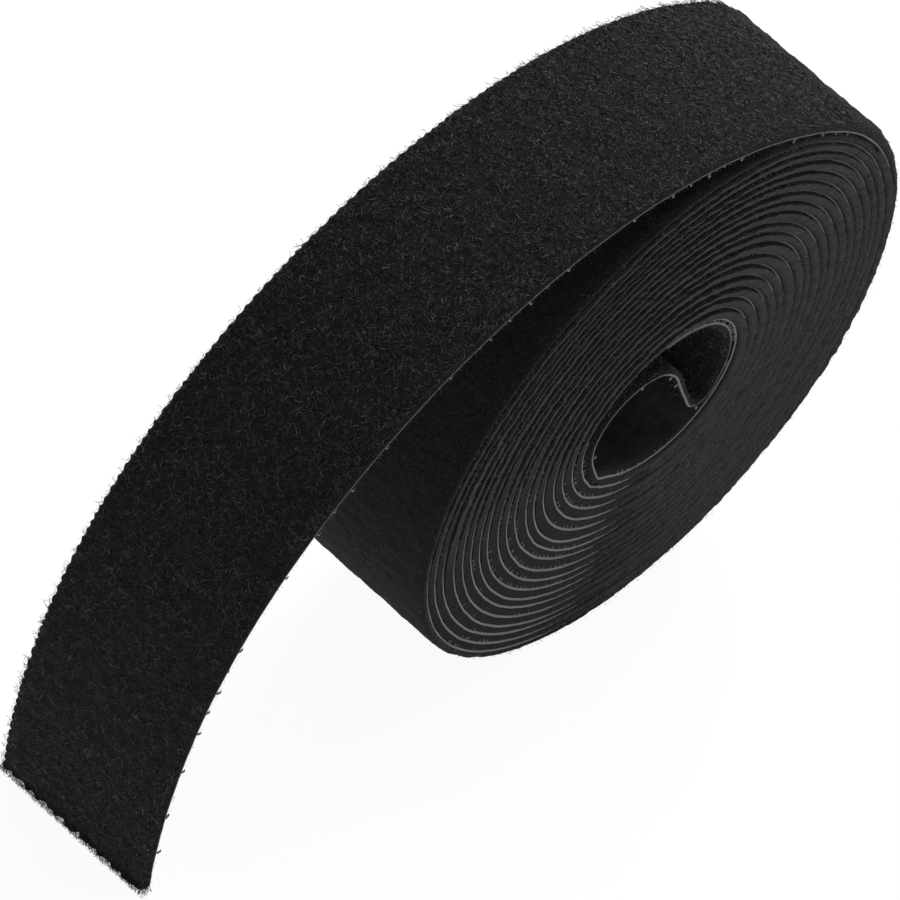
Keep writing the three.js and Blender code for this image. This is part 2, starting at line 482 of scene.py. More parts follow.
ROOT_LENGTH = 6 * MM
ROOT_FOLD = (-9.5 * MM, 2 * MM)
FOLD_MARGIN = 1 * MM
TIP_FRINGE = 0.55 * MM
OUTER_TURNS = 1.06
INNER_ROOT = (-5 * MM, 5.5 * MM)
INNER_FOLD = (-3.5 * MM, 4.5 * MM)
CURL_LENGTH = 9 * MM


def stretches(line):
    section = line.peel / SECTIONS
    found = [Stretch("free_end_tip", TIP_FRINGE, section / 2, (f"tail_{SECTIONS}",))]
    for outer in range(SECTIONS, 1, -1):
        fold = line.peel - (outer - 1) * section
        start, end = fold - section / 2, fold + section / 2
        bodies = (f"tail_{outer}", f"tail_{outer - 1}")
        bend = (start + FOLD_MARGIN, end - FOLD_MARGIN)
        found.append(Stretch(f"free_end_{outer}", start, end, bodies, bodies[0], bend))
    root_end = line.peel + ROOT_LENGTH
    root_bend = tuple(line.peel + place for place in ROOT_FOLD)
    outer_end = line.at_turn(OUTER_TURNS)
    inner = [line.wound_end + place for place in INNER_ROOT]
    inner_bend = tuple(line.wound_end + place for place in INNER_FOLD)
    curl = (line.wrap - CURL_LENGTH, line.wrap + 2 * FOLD_MARGIN)
    return [
        *found,
        Stretch(
            "free_end_1", line.peel - section / 2, root_end, ("tail_1", "roll"), "tail_1", root_bend
        ),
        Stretch("outer_turn", root_end, outer_end, ("roll",)),
        Stretch("wound_turns", outer_end, inner[0], ("roll",), "roll"),
        Stretch("inner_root", *inner, ("roll", "inner_end"), "", inner_bend),
        Stretch("inner_end", inner[1], curl[0], ("inner_end",), "inner_end"),
        Stretch("inner_curl", *curl, ("inner_end", "roll"), "", curl),
        Stretch("inner_wrap", curl[1], line.end, ("roll",), "inner_wrap"),
    ]


def settle(piece, line, stretch):
    """Carries a piece with the first body of its stretch. A piece across a fold is left in place, on
    no body.
    """
    if stretch.fold:
        start, end = (line.point(place) for place in stretch.fold)
        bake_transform(piece)
    else:
        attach(piece, stretch.bodies[0])


# Modelling


def read_places(mesh):
    places = np.empty(len(mesh.vertices) * 3)
    mesh.vertices.foreach_get("co", places)
    return places.reshape(-1, 3)


def write_places(mesh, places):
    mesh.vertices.foreach_set("co", places.astype(np.float32).ravel())
    mesh.update()


def write_attribute(mesh, name, kind, values):
    attribute = mesh.attributes.new(name, kind, "POINT")
    field = "vector" if kind == "FLOAT_VECTOR" else "value"
    attribute.data.foreach_set(field, values.astype(np.float32).ravel())


def draw_out(name, stretch, outline, step):
    """A flat closed strip: its outline across the tape, drawn out along the stretch."""
    bpy.ops.object.select_all(action="DESELECT")
    bpy.ops.mesh.primitive_circle_add(vertices=len(outline), radius=MM, fill_type="NOTHING")
    strip = bpy.context.object
    strip.name = strip.data.name = name
    for vertex, (across, height) in zip(strip.data.vertices, outline):
        vertex.co = (stretch.start, across, height)
    drawn = strip.modifiers.new("length", "SCREW")
    drawn.axis = "X"
    drawn.angle = 0
    drawn.screw_offset = stretch.length
    drawn.steps = drawn.render_steps = max(2, round(stretch.length / step))
    bpy.ops.object.modifier_apply(modifier=drawn.name)
    bpy.ops.object.mode_set(mode="EDIT")
    bpy.ops.mesh.select_mode(type="EDGE")
    bpy.ops.mesh.select_all(action="DESELECT")
    bpy.ops.mesh.select_non_manifold()
    bpy.ops.mesh.edge_face_add()
    bpy.ops.mesh.select_all(action="SELECT")
    bpy.ops.mesh.normals_make_consistent(inside=False)
    bpy.ops.object.mode_set(mode="OBJECT")
    return strip


def finish_strip(strip, line, flat, material):
    """Winds a shaped flat strip and keeps where each point lay, for its finish."""
    places = line.wind(flat)
    places[:, 2] = np.maximum(places[:, 2], FLOOR_GAP)
    write_places(strip.data, places)
    write_attribute(strip.data, "flat_place", "FLOAT_VECTOR", flat)
    strip.data.materials.append(material)
    bpy.ops.object.shade_smooth_by_angle(angle=math.radians(50))
    return strip


def fabric_outline(line, column, rounding):
    """The fabric across the tape: rounded edges, a top of points a column apart and a plain back."""
    tape = line.tape
    edge = tape.width / 2
    inside = edge - rounding
    count = max(2, round(2 * inside / column))
    top = [(place, 1) for place in np.linspace(-inside, inside, count + 1)]
    near = [(-edge, 0), (-edge, 0.15), (-edge, 0.45), (-edge + rounding / 3, 0.8)]
    far = [(-across, height) for across, height in reversed(near)]
    return [*near, *top, *far, (0, 0)]


FILM_PROUD = 0.015 * MM
FILM_LAP = 0.05 * MM
FILM_BEVEL = 0.09 * MM
FILM_WAVES = 0.06 * MM


def film_outline(line):
    """The film across the tape. Its slit edge is bevelled, and laps the fabric's root a little."""
    tape = line.tape
    edge = tape.width / 2 + FILM_PROUD
    inside = edge - FILM_BEVEL
    back = [(-edge, -tape.film / 3), (-inside, -tape.film), (inside, -tape.film)]
    return [*back, (edge, -tape.film / 3), (edge, FILM_LAP), (-edge, FILM_LAP)]


FREE_GRID = (0.21 * MM, 0.3 * MM)
FABRIC_GRIDS = {"outer_turn": (0.3 * MM, 0.42 * MM), "wound_turns": (0.34 * MM, 10 * MM)}
FILM_STEP = 0.5 * MM


@dataclass
class Bulk:
    """The dense part of the pile: its height in shares of the full pile, its round edges, and
    how high fringes stand on these."""

    low: float
    high: float
    rounding: float
    fringe: float


EDGE_BAND = 0.7 * MM
FREE_BULK = Bulk(0.8, 1.1, 0.6 * MM, 0.5)
WOUND_BULK = Bulk(0.85, 1.02, 0.02 * MM, 0.85)
TIP_FLARE = 0.7
TIP_FLARE_REACH = 0.4 * MM
NOTCH_DIP = 0.8 / MM


def bulk_of(stretch):
    return WOUND_BULK if stretch.name == "wound_turns" else FREE_BULK


def make_fabric(line, stretch, material):
    """The ground and the dense part of the pile, with its tufts."""
    step, column = FABRIC_GRIDS.get(stretch.name, FREE_GRID)
    bulk = bulk_of(stretch)
    outline = fabric_outline(line, column, bulk.rounding)
    strip = draw_out(f"{stretch.name}_fabric", stretch, outline, step)
    flat = read_places(strip.data)
    along, across, raised = flat.T.copy()
    tufts = line.tufts(along, across)
    edge = line.tape.width / 2
    beside = smoothstep(abs(across), edge - EDGE_BAND, edge)
    notch = line.notches(along, across) * beside
    outward = np.sign(across) * (raised > 0)
    flat[:, 1] += outward * (line.spills(along, across) * raised**0.4 * beside - notch)
    flare = np.exp((TIP_FRINGE - along) / TIP_FLARE_REACH)
    share = bulk.low + (bulk.high - bulk.low) * tufts
    share += TIP_FLARE * flare * bumps(along, across, 0.5 * MM, Seed.TIP_FLARE)
    flat[:, 2] = raised * line.full_pile(along) * share * (1 - NOTCH_DIP * notch)
    # Height in the tufts, which the pile's colour uses for painted shade between them and painted
    # light on their tops
    write_attribute(strip.data, "tuft", "FLOAT", tufts * raised)
    return finish_strip(strip, line, flat, material)


def make_film(line, stretch, material):
    strip = draw_out(f"{stretch.name}_film", stretch, film_outline(line), FILM_STEP)
    flat = read_places(strip.data)
    slow = bumps(flat[:, 0], flat[:, 1], 3 * MM, Seed.SLOW_FILM) - 0.5
    quick = bumps(flat[:, 0], flat[:, 1], 0.9 * MM, Seed.QUICK_FILM) - 0.5
    flat[:, 2] += FILM_WAVES * (slow + quick)
    return finish_strip(strip, line, flat, material)


# Hooks and loops: each is modelled once and copied over the tape


HOOK_STEM = (0.13 * MM, 0.2 * MM)
HOOK_HEAD = (0.08 * MM, 0.24 * MM)
HOOK_TAPERS = (0.8, 0.6)


def model_hook(tape):
    """One hook standing on the film's back: a stem and a head bent over along the tape."""
    bpy.ops.object.select_all(action="DESELECT")
    bpy.ops.mesh.primitive_cube_add(size=1)
    hook = bpy.context.object
    stem = 0.5 * tape.hook
    hook.scale = (*HOOK_STEM, stem)
    hook.location.z = -stem / 2
    bpy.ops.object.transform_apply(location=True, rotation=False, scale=True)
    drops = (-0.42 * tape.hook, 0.08 * tape.hook)
    pick_faces(hook, lambda face: face.normal.z < -0.9)
    bpy.ops.object.mode_set(mode="OBJECT")
    for reach, drop, taper in zip(HOOK_HEAD, drops, HOOK_TAPERS):
        bpy.ops.object.mode_set(mode="EDIT")
        bpy.ops.mesh.extrude_region_move(TRANSFORM_OT_translate={"value": (reach, 0, drop)})
        bpy.ops.object.mode_set(mode="OBJECT")
        head = [face for face in hook.data.polygons if face.select][0]
        centre = head.center.copy()
        bpy.ops.object.mode_set(mode="EDIT")
        bpy.ops.transform.resize(value=(taper,) * 3, center_override=centre)
        bpy.ops.object.mode_set(mode="OBJECT")
    return take_model(hook)


def pick_faces(piece, test):
    """Selects faces for the next step in edit mode."""
    bpy.ops.object.mode_set(mode="EDIT")
    bpy.ops.mesh.select_mode(type="FACE")
    bpy.ops.mesh.select_all(action="DESELECT")
    bpy.ops.object.mode_set(mode="OBJECT")
    for face in piece.data.polygons:
        face.select = test(face)
    bpy.ops.object.mode_set(mode="EDIT")


def model_loop(tape, curl):
    """One loose loop of the pile: a thin fibre with pointed ends, curled sideways and over."""
    bpy.ops.object.select_all(action="DESELECT")
    segment = tape.fibre / 5
    bpy.ops.mesh.primitive_cylinder_add(
        vertices=3,
        radius=tape.fibre_radius,
        depth=segment,
        end_fill_type="TRIFAN",
        rotation=(0, math.pi / 2, 0),
    )
    loop = bpy.context.object
    bpy.ops.object.transform_apply(location=False, rotation=True, scale=False)
    pick_faces(loop, lambda face: face.normal.x > 0.9)
    for _ in range(2):
        bpy.ops.mesh.extrude_region_move(TRANSFORM_OT_translate={"value": (segment, 0, 0)})
    bpy.ops.object.mode_set(mode="OBJECT")
    for way in (-1, 1):
        draw_tip(loop, tape.fibre_radius, way, (way * segment, 0, 0))
    for axis, bend in (("Z", curl), ("Y", math.radians(15))):
        curved = loop.modifiers.new("curl", "SIMPLE_DEFORM")
        curved.deform_method = "BEND"
        curved.deform_axis = axis
        curved.angle = bend
        bpy.ops.object.modifier_apply(modifier=curved.name)
    return take_model(loop)


def model_stub(tape):
    """One short broken loop: two points and a kink between them."""
    bpy.ops.object.select_all(action="DESELECT")
    half = 0.22 * tape.fibre
    bpy.ops.mesh.primitive_cone_add(
        vertices=3,
        radius1=tape.fibre_radius,
        depth=half,
        end_fill_type="TRIFAN",
        rotation=(0, math.pi / 2, 0),
    )
    stub = bpy.context.object
    bpy.ops.object.transform_apply(location=False, rotation=True, scale=False)
    draw_tip(stub, tape.fibre_radius, -1, (-0.9 * half, 0, -0.4 * half))
    return take_model(stub)


def draw_tip(fibre, radius, way, move):
    """Pulls the middle of a fibre's end out to a point."""
    for vertex in fibre.data.vertices:
        on_axis = math.hypot(vertex.co.y, vertex.co.z) < radius / 2
        vertex.select = on_axis and vertex.co.x * way > 0
    bpy.ops.object.mode_set(mode="EDIT")
    bpy.ops.mesh.select_mode(type="VERT")
    bpy.ops.transform.translate(value=move)
    bpy.ops.mesh.select_all(action="DESELECT")
    bpy.ops.object.mode_set(mode="OBJECT")


def take_model(model):
    """The model's points and triangles. The model itself isn't a piece, so it is removed."""
    mesh = model.data
    mesh.calc_loop_triangles()
    places = read_places(mesh)
    triangles = np.array([list(each.vertices) for each in mesh.loop_triangles])
    bpy.data.objects.remove(model)
    return places, triangles


def turned(yaw, pitch, roll):
    """Rotation matrices: a roll about X, then a pitch about Y, then a yaw about Z."""
    sines = [np.sin(each) for each in (yaw, pitch, roll)]
    cosines = [np.cos(each) for each in (yaw, pitch, roll)]
    (sz, sy, sx), (cz, cy, cx) = sines, cosines
    rows = [
        [cz * cy, cz * sy * sx - sz * cx, cz * sy * cx + sz * sx],
        [sz * cy, sz * sy * sx + cz * cx, sz * sy * cx - cz * sx],
        [-sy, cy * sx, cy * cx],
    ]
    return np.moveaxis(np.array(rows), 2, 0)


def copy_over(name, line, model, places, turns, scales):
    """One mesh of many copies of a model, each at its place on the flat tape, then wound."""
    points, triangles = model
    shaped = np.einsum("nij,kj->nki", turns, points) * scales[:, None, None]
    flat = (shaped + places[:, None, :]).reshape(-1, 3)
    wound = line.wind(flat).reshape(len(places), len(points), 3)
    below = np.minimum(wound[:, :, 2].min(1) - FLOOR_GAP, 0)
    wound[:, :, 2] -= below[:, None]
    first = np.arange(len(places))[:, None, None] * len(points)
    corners = (triangles[None] + first).reshape(-1, 3)
    mesh = bpy.data.meshes.new(name)
    mesh.vertices.add(len(flat))
    mesh.loops.add(corners.size)
    mesh.polygons.add(len(corners))
    mesh.loops.foreach_set("vertex_index", corners.ravel().astype(np.int32))
    mesh.polygons.foreach_set("loop_start", np.arange(0, corners.size, 3, dtype=np.int32))
    write_places(mesh, wound.reshape(-1, 3))
    mesh.update(calc_edges=True)
    write_attribute(mesh, "flat_place", "FLOAT_VECTOR", flat)
    piece = bpy.data.objects.new(name, mesh)
    bpy.context.scene.collection.objects.link(piece)
    return piece


BETWEEN_TURNS = ("outer_turn", "wound_turns", "inner_wrap")
HOOK_WANDER = 0.8 * MM
HOOK_WANDER_PITCH = 9 * MM


def open_film(line, stretch):
    """From where on the film of a stretch lies open, so that hooks show all over it."""
    if stretch.name == "wound_turns":
        return line.at_turn(line.roll.turns - 1)
    return stretch.end if stretch.name in BETWEEN_TURNS else stretch.start


def hook_places(line, stretch):
    """Rows of hooks across the tape. Between the turns only the hooks at the two edges show."""
    tape = line.tape
    between = stretch.name in BETWEEN_TURNS
    pitch = tape.hook_spacing if between else tape.hook_pitch
    rows = np.arange(stretch.start + pitch / 2, stretch.end, pitch)
    edge = tape.width / 2 - (0.04 if between else 0.1) * MM
    columns = np.linspace(-edge, edge, round(2 * edge / tape.hook_spacing) + 1)
    along, across = (grid.ravel() for grid in np.meshgrid(rows, columns, indexing="ij"))
    row = np.repeat(np.arange(len(rows)), len(columns))
    column = np.round(across / tape.hook_spacing)
    along = along + (column % 2) * pitch / 2
    whole = (along > open_film(line, stretch)) & (row % round(tape.hook_pitch / pitch) == 0)
    shown = whole | (abs(across) > edge - 0.5 * tape.hook_spacing)
    shown &= along < stretch.end - 0.3 * MM
    along, across, column = along[shown], across[shown], column[shown]
    if between:
        side = np.sign(across)
        inset = bumps(along, side * EDGE_LANE, HOOK_WANDER_PITCH, Seed.EDGE_HOOKS) - 0.4
        across = across - side * HOOK_WANDER * np.maximum(inset, 0) * (abs(across) > 0.95 * edge)
    return along, across, column


def make_hooks(line, stretch, model, material):
    """The hooks of a stretch. Some are missing, and those between the turns are pressed small."""
    draws = np.random.default_rng(Seed.HOOKS)
    between = stretch.name in BETWEEN_TURNS
    along, across, column = hook_places(line, stretch)
    moulded = draws.random(len(along)) < (0.65 if between else 0.85)
    along, across, column = along[moulded], across[moulded], column[moulded]
    count = len(along)
    along = along + draws.normal(0, 0.06 * MM, count)
    across = across + draws.normal(0, 0.04 * MM, count)
    places = np.stack([along, across, np.full(count, -line.tape.film)], 1)
    way = np.where(column % 4 < 2, 0, math.pi)
    turns = turned(way, draws.normal(0, 0.1, count), draws.normal(0, 0.1, count))
    sizes = draws.uniform(0.9, 1.1, count) * (0.7 if between else 1)
    piece = copy_over(f"{stretch.name}_hooks", line, model, places, turns, sizes)
    piece.data.materials.append(material)
    return piece


LOOPS_PER_MM2 = {
    "free_end_tip": 8,
    "free_end_5": 8,
    "free_end_4": 9,
    "free_end_3": 10.5,
    "free_end_2": 12,
    "free_end_1": 13.5,
    "outer_turn": 9,
    "wound_turns": 0,
}
INNER_LOOPS_PER_MM2 = 8
LOOPS_TRIED = 1.7
LOOPS_BETWEEN_TUFTS = 0.25
MORE_ON_TUFTS = 0.7
FRINGE_PER_MM = {"near": 13, "far": 5}
TIP_FRINGE_COUNT = 6000
TIP_FRINGE_REACH = (-0.4 * MM, 0.2 * MM)
TIP_FRINGE_HEIGHTS = (0.05, 1.65)


def loop_places(line, stretch, draws):
    """Loops all over the pile, thickest on the tufts. Heights are shares of the full pile."""
    edge = line.tape.width / 2 - 0.1 * MM
    area = stretch.length * line.tape.width / MM**2
    count = round(LOOPS_TRIED * area * LOOPS_PER_MM2.get(stretch.name, INNER_LOOPS_PER_MM2))
    along = draws.uniform(stretch.start, stretch.end, count)
    across = draws.uniform(-edge, edge, count)
    tufts = line.tufts(along, across)
    kept = draws.random(count) < LOOPS_BETWEEN_TUFTS + MORE_ON_TUFTS * tufts
    bulk = bulk_of(stretch)
    height = bulk.low + (bulk.high - bulk.low) * tufts + draws.normal(0.02, 0.04, count)
    return np.stack([along, across, height], 1)[kept]


def fringe_places(line, stretch, side, per_mm, draws):
    """Short loops along one cut edge, over the pile that hangs out there."""
    count = round(stretch.length / MM * per_mm)
    along = draws.uniform(stretch.start, stretch.end, count)
    across = np.full(count, side * line.tape.width / 2)
    height = draws.uniform(0.1, bulk_of(stretch).fringe, count)
    kept = draws.random(count) < 0.1 + 0.9 * line.covered(along)
    along, across, height = along[kept], across[kept], height[kept]
    notch = line.notches(along, across)
    out = line.spills(along, across) * height**0.4 - notch
    across += side * (out + draws.normal(0, 0.03 * MM, len(along)))
    return np.stack([along, across, height * (1 - NOTCH_DIP * notch)], 1)


def tip_places(line, stretch, draws):
    """The frayed end of the tape."""
    edge = line.tape.width / 2
    across = draws.uniform(-edge, edge, TIP_FRINGE_COUNT)
    tuft = 0.5 + bumps(0, across, 0.8 * MM, Seed.TIP_TUFTS)
    along = stretch.start + tuft * draws.uniform(*TIP_FRINGE_REACH, TIP_FRINGE_COUNT)
    height = draws.uniform(*TIP_FRINGE_HEIGHTS, TIP_FRINGE_COUNT)
    return np.stack([along, across, height], 1)


@dataclass
class Fibres:
    """How copies of a fibre differ: sizes, greatest turn aside, tilts and spread of shades."""

    sizes: tuple
    yaw: float = math.pi
    pitch: float = 0.2
    roll: float = 0.45
    shades: tuple = (0.6, 4.0)


def scatter(name, line, model, places, draws, fibres, material):
    """Copies a fibre to places whose heights are shares of the full pile, turned at random."""
    count = len(places)
    places[:, 2] *= line.full_pile(places[:, 0])
    yaws = draws.uniform(-fibres.yaw, fibres.yaw, count)
    tilts = [draws.normal(0, tilt, count) for tilt in (fibres.pitch, fibres.roll)]
    turns = turned(yaws, *tilts)
    piece = copy_over(name, line, model, places, turns, draws.uniform(*fibres.sizes, count))
    shade = np.repeat(draws.beta(*fibres.shades, count), len(model[0]))
    write_attribute(piece.data, "shade", "FLOAT", shade)
    piece.data.materials.append(material)
    return piece


LOOPS = Fibres((0.5, 1.15), pitch=0.07, roll=0.15)
FRINGE = Fibres((0.4, 0.9), shades=(1.0, 3.0))
FRAYED = Fibres((0.8, 1.4), yaw=1.1, shades=(0.5, 6.0))
MOST_COPIES = 30000
CURLS = (200, -110)


def make_loops(line, stretch, models, material, seed):
    """The loose loops of a stretch and the fringe along its edges."""
    draws = np.random.default_rng(seed)
    curls, stub = models
    pieces = []
    for side, face in ((-1, "near"), (1, "far")):
        fringe = fringe_places(line, stretch, side, FRINGE_PER_MM[face], draws)
        name = f"{stretch.name}_{face}_fringe"
        pieces.append(scatter(name, line, stub, fringe, draws, FRINGE, material))
    if stretch.name == "free_end_tip":
        frayed = tip_places(line, stretch, draws)
        name = f"{stretch.name}_frayed"
        pieces.append(scatter(name, line, stub, frayed, draws, FRAYED, material))
    loops = loop_places(line, stretch, draws)
    fibres = curls
    if stretch.name == "outer_turn":
        fibres = [stub] * math.ceil(len(loops) / MOST_COPIES)
    for part, fibre in enumerate(fibres if len(loops) else []):
        some = loops[part :: len(fibres)]
        name = f"{stretch.name}_pile_{part + 1}"
        pieces.append(scatter(name, line, fibre, some, draws, LOOPS, material))
    return pieces


# Finishes


def node(tree, kind, values=None, **settings):
    made = tree.nodes.new(kind)
    for name, value in settings.items():
        setattr(made, name, value)
    for name, value in (values or {}).items():
        socket = made.inputs[name]
        if isinstance(value, bpy.types.NodeSocket):
            tree.links.new(value, socket)
        else:
            socket.default_value = value
    return made


def maths(tree, operation, first, second=0.0):
    return node(tree, "ShaderNodeMath", {0: first, 1: second}, operation=operation).outputs[0]


def ranged(tree, value, start=(0.0, 1.0), end=(0.0, 1.0)):
    """A value taken from one range to another."""
    values = {"Value": value, "From Min": start[0], "From Max": start[1]}
    values |= {"To Min": end[0], "To Max": end[1]}
    return node(tree, "ShaderNodeMapRange", values).outputs["Result"]


def noise(tree, place, scale, **values):
    return node(tree, "ShaderNodeTexNoise", {"Vector": place, "Scale": scale, **values})


def new_group(name, grains):
    """A node group that takes a place on the flat tape and gives one value."""
    group = bpy.data.node_groups.new(name, "ShaderNodeTree")
    group.interface.new_socket("Place", in_out="INPUT", socket_type="NodeSocketVector")
    grain = group.interface.new_socket(
        "Grains per metre", in_out="INPUT", socket_type="NodeSocketFloat"
    )
    grain.default_value = grains
    group.interface.new_socket("Value", in_out="OUTPUT", socket_type="NodeSocketFloat")
    return group, *node(group, "NodeGroupInput").outputs[:2]


def mottle_group():
    """Cloudy and fine noise over the flat tape, as one value from 0 to 1."""
    if "tape_mottle" in bpy.data.node_groups:
        return bpy.data.node_groups["tape_mottle"]
    group, place, grains = new_group("tape_mottle", 4000)
    coarse_grains = maths(group, "MULTIPLY", grains, 0.22)
    fine = noise(group, place, grains, Detail=2.0, Roughness=0.6).outputs["Fac"]
    coarse = noise(group, place, coarse_grains, Detail=2.0).outputs["Fac"]
    value = ranged(group, maths(group, "MULTIPLY", fine, coarse), (0.1, 0.45))
    node(group, "NodeGroupOutput", {0: value})
    return group


def curls_group():
    """Thin curly lines over the flat tape, patchy, as one value from 0 to 1."""
    if "tape_curls" in bpy.data.node_groups:
        return bpy.data.node_groups["tape_curls"]
    group, place, grains = new_group("tape_curls", 2500)
    lines = []
    for offset in (0.37, 0.81):
        moved = node(group, "ShaderNodeVectorMath", {0: place, 1: (offset, offset / 3, 0)})
        made = noise(group, moved.outputs[0], grains, Detail=1.0, Distortion=0.7)
        away = maths(group, "ABSOLUTE", maths(group, "SUBTRACT", made.outputs["Fac"], 0.5))
        thin = ranged(group, away, (0.0, 0.045), (1.0, 0.0))
        patches = ranged(group, made.outputs["Color"], (0.4, 0.65))
        lines.append(maths(group, "MULTIPLY", thin, patches))
    node(group, "NodeGroupOutput", {0: maths(group, "MAXIMUM", *lines)})
    return group


def over_tape(tree, group, grains):
    """A node group's value over the flat tape."""
    place = node(tree, "ShaderNodeAttribute", attribute_name="flat_place")
    made = node(tree, "ShaderNodeGroup", node_tree=group)
    tree.links.new(place.outputs["Vector"], made.inputs["Place"])
    made.inputs["Grains per metre"].default_value = grains
    return made.outputs["Value"]


def mottle(tree, grains):
    return over_tape(tree, mottle_group(), grains)


def mixed(tree, share, first, second):
    made = node(tree, "ShaderNodeMix", {"Factor": share}, data_type="RGBA")
    for name, value in (("A", first), ("B", second)):
        socket = next(s for s in made.inputs if s.name == name and s.type == "RGBA")
        if isinstance(value, bpy.types.NodeSocket):
            tree.links.new(value, socket)
        else:
            socket.default_value = (*value, 1)
    return next(s for s in made.outputs if s.type == "RGBA")


def new_material(name):
    material = bpy.data.materials.new(name)
    material.use_nodes = True
    tree = material.node_tree
    return material, tree, tree.nodes["Principled BSDF"]


def bumped(tree, height, distance, strength):
    bump = node(
        tree, "ShaderNodeBump", {"Height": height, "Distance": distance, "Strength": strength}
    )
    return bump.outputs["Normal"]


def near_cut(tree, start, end):
    """1 along the cut edges of the tape, from two places across it."""
    place = node(tree, "ShaderNodeTexCoord").outputs["Object"]
    across = node(tree, "ShaderNodeSeparateXYZ", {0: place}).outputs["Y"]
    return ranged(tree, maths(tree, "ABSOLUTE", across), (start, end))


def pile_material(finish, edge):
    material, tree, shader = new_material("loop_pile")
    grain = mottle(tree, 5000)
    tuft = node(tree, "ShaderNodeAttribute", attribute_name="tuft").outputs["Fac"]
    # Painted shade: the pile is darker low down and between the tufts and lighter on their tops, by
    # the tuft height, broken up by the mottle
    share = maths(tree, "MULTIPLY", grain, tuft)
    colour = mixed(tree, share, finish.pile_painted_shade, finish.pile_painted_light)
    curls = over_tape(tree, curls_group(), 3300)
    colour = mixed(tree, curls, colour, finish.pile_curl)
    # Random patches from the mottle, which break up both edge bands
    edge_patches = ranged(tree, grain, end=(0.35, 1.0))
    # Along the cut edges the pile takes its cut colour; past them, where it hangs over, a lighter cool
    # colour is painted sheen of grazing light
    bands = ((finish.pile_cut, -0.35, 0), (finish.pile_spill_painted_sheen, 0.05, 0.35))
    for shade, start, end in bands:
        cut = near_cut(tree, edge + start * MM, edge + end * MM)
        colour = mixed(tree, maths(tree, "MULTIPLY", cut, edge_patches), colour, shade)
    tree.links.new(colour, shader.inputs["Base Color"])
    tree.links.new(bumped(tree, grain, 0.12 * MM, 0.8), shader.inputs["Normal"])
    shader.inputs["Roughness"].default_value = 0.95
    shader.inputs["Specular IOR Level"].default_value = 0.05
    shader.inputs["Sheen Weight"].default_value = 0.03
    shader.inputs["Sheen Roughness"].default_value = 0.5
    return material


def fibre_material(finish):
    material, tree, shader = new_material("pile_loops")
    shade = node(tree, "ShaderNodeAttribute", attribute_name="shade").outputs["Fac"]
    colour = mixed(tree, shade, finish.fibre_shade, finish.fibre_light)
    tree.links.new(colour, shader.inputs["Base Color"])
    shader.inputs["Roughness"].default_value = 0.6
    shader.inputs["Specular IOR Level"].default_value = 0.4
    return material


def film_material(finish, edge):
    material, tree, shader = new_material("hook_film")
    grain = mottle(tree, 1500)
    cut = near_cut(tree, edge - 0.13 * MM, edge - 0.07 * MM)
    share = maths(tree, "MULTIPLY", cut, ranged(tree, grain, end=(0.15, 1.0)))
    tree.links.new(mixed(tree, share, finish.film, finish.cut_edge), shader.inputs["Base Color"])
    tree.links.new(ranged(tree, grain, end=(0.38, 0.6)), shader.inputs["Roughness"])
    tree.links.new(bumped(tree, grain, 0.03 * MM, 0.4), shader.inputs["Normal"])
    return material


def hook_material(finish, tape):
    """Dark like the film, and paler where the outermost hooks were slit with it."""
    material, tree, shader = new_material("moulded_hooks")
    place = node(tree, "ShaderNodeAttribute", attribute_name="flat_place").outputs["Vector"]
    height = node(tree, "ShaderNodeSeparateXYZ", {0: place}).outputs["Z"]
    tip = ranged(tree, height, (-tape.film, -tape.film - tape.hook), (0.5, 1.0))
    slit = near_cut(tree, tape.width / 2 - 0.3 * MM, tape.width / 2 - 0.12 * MM)
    share = maths(tree, "MULTIPLY", tip, slit)
    tree.links.new(mixed(tree, share, finish.film, finish.hook_tip), shader.inputs["Base Color"])
    shader.inputs["Roughness"].default_value = 0.6
    shader.inputs["Specular IOR Level"].default_value = 0.2
    return material


# Operators


def lay_strips(line, make, material, layer):
    """Lays one layer of the tape, stretch by stretch, in place of its solids."""
    for stretch in stretches(line):
        strip = make(line, stretch, material)
        settle(strip, line, stretch)
        if stretch.stands_for:
            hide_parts(f"{stretch.stands_for}_{layer}")


class TAPE_OT_fabric(bpy.types.Operator):
    """Weave the loop fabric strip, stretch by stretch"""

    bl_idname = "tape.fabric"
    bl_label = "Loop Fabric"

    def execute(self, context):
        line = TapeLine(context.scene)
        material = pile_material(context.scene.tape_finish, line.tape.width / 2)
        lay_strips(line, make_fabric, material, "loop_fabric")
        return {"FINISHED"}


class TAPE_OT_film(bpy.types.Operator):
    """Lay the hook film strip under the fabric, stretch by stretch"""

    bl_idname = "tape.film"
    bl_label = "Hook Film"

    def execute(self, context):
        line = TapeLine(context.scene)
        material = film_material(context.scene.tape_finish, line.tape.width / 2)
        lay_strips(line, make_film, material, "hook_film")
        return {"FINISHED"}


class TAPE_OT_hooks(bpy.types.Operator):
    """Mould the rows of hooks on the film's back"""

    bl_idname = "tape.hooks"
    bl_label = "Hooks"

    def execute(self, context):
        line = TapeLine(context.scene)
        model = model_hook(line.tape)
        material = hook_material(context.scene.tape_finish, line.tape)
        for stretch in stretches(line):
            settle(make_hooks(line, stretch, model, material), line, stretch)
        return {"FINISHED"}


class TAPE_OT_pile(bpy.types.Operator):
    """Brush up the loose loops of the pile and the fringes, stretch by stretch"""

    bl_idname = "tape.pile"
    bl_label = "Pile Loops"

    def execute(self, context):
        line = TapeLine(context.scene)
        curls = [model_loop(line.tape, math.radians(bend)) for bend in CURLS]
        models = curls, model_stub(line.tape)
        material = fibre_material(context.scene.tape_finish)
        for seed, stretch in enumerate(stretches(line), Seed.LOOPS):
            loops = make_loops(line, stretch, models, material, seed)
            for piece in loops:
                settle(piece, line, stretch)
        return {"FINISHED"}


